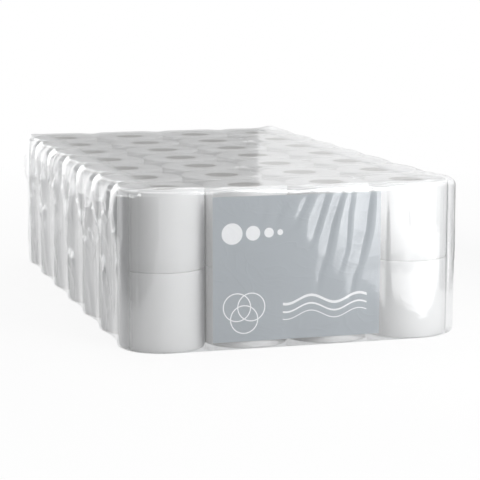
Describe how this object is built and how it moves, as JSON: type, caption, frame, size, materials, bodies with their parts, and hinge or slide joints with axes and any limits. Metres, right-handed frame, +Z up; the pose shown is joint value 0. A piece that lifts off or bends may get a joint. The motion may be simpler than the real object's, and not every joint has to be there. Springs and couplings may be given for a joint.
{
  "type": "toilet paper roll pack",
  "caption": "Case of toilet rolls standing on end in two layers, in film-wrapped inner packs with folded ends, all inside one clear sack.",
  "frame": {"origin": "centre of the flat base, where the lowest film rests on the floor", "axes": "+X along the rolls of one inner pack, +Y back through the inner packs, -Y is the printed front, +Z up"},
  "size_m": [0.428, 0.7502, 0.1986],
  "materials": {
    "tissue": "matte",
    "core_card": "matte",
    "wrap_film": "gloss",
    "printed_film": "satin",
    "sack_film": "gloss"
  },
  "bodies": {
    "root": {"roll_p1a_lower": "tissue", "roll_p1a_upper": "tissue", "roll_p1b_lower": "tissue", "roll_p1b_upper": "tissue", "roll_p1c_lower": "tissue", "roll_p1c_upper": "tissue", "roll_p1d_lower": "tissue", "roll_p1d_upper": "tissue", "roll_p2a_lower": "tissue", "roll_p2a_upper": "tissue", "roll_p2b_lower": "tissue", "roll_p2b_upper": "tissue", "roll_p2c_lower": "tissue", "roll_p2c_upper": "tissue", "roll_p2d_lower": "tissue", "roll_p2d_upper": "tissue", "roll_p3a_lower": "tissue", "roll_p3a_upper": "tissue", "roll_p3b_lower": "tissue", "roll_p3b_upper": "tissue", "roll_p3c_lower": "tissue", "roll_p3c_upper": "tissue", "roll_p3d_lower": "tissue", "roll_p3d_upper": "tissue", "roll_p4a_lower": "tissue", "roll_p4a_upper": "tissue", "roll_p4b_lower": "tissue", "roll_p4b_upper": "tissue", "roll_p4c_lower": "tissue", "roll_p4c_upper": "tissue", "roll_p4d_lower": "tissue", "roll_p4d_upper": "tissue", "roll_p5a_lower": "tissue", "roll_p5a_upper": "tissue", "roll_p5b_lower": "tissue", "roll_p5b_upper": "tissue", "roll_p5c_lower": "tissue", "roll_p5c_upper": "tissue", "roll_p5d_lower": "tissue", "roll_p5d_upper": "tissue", "roll_p6a_lower": "tissue", "roll_p6a_upper": "tissue", "roll_p6b_lower": "tissue", "roll_p6b_upper": "tissue", "roll_p6c_lower": "tissue", "roll_p6c_upper": "tissue", "roll_p6d_lower": "tissue", "roll_p6d_upper": "tissue", "roll_p7a_lower": "tissue", "roll_p7a_upper": "tissue", "roll_p7b_lower": "tissue", "roll_p7b_upper": "tissue", "roll_p7c_lower": "tissue", "roll_p7c_upper": "tissue", "roll_p7d_lower": "tissue", "roll_p7d_upper": "tissue", "front_wrap": "wrap_film", "rear_wraps": "wrap_film", "sack": "sack_film"}
  },
  "joints": []
}
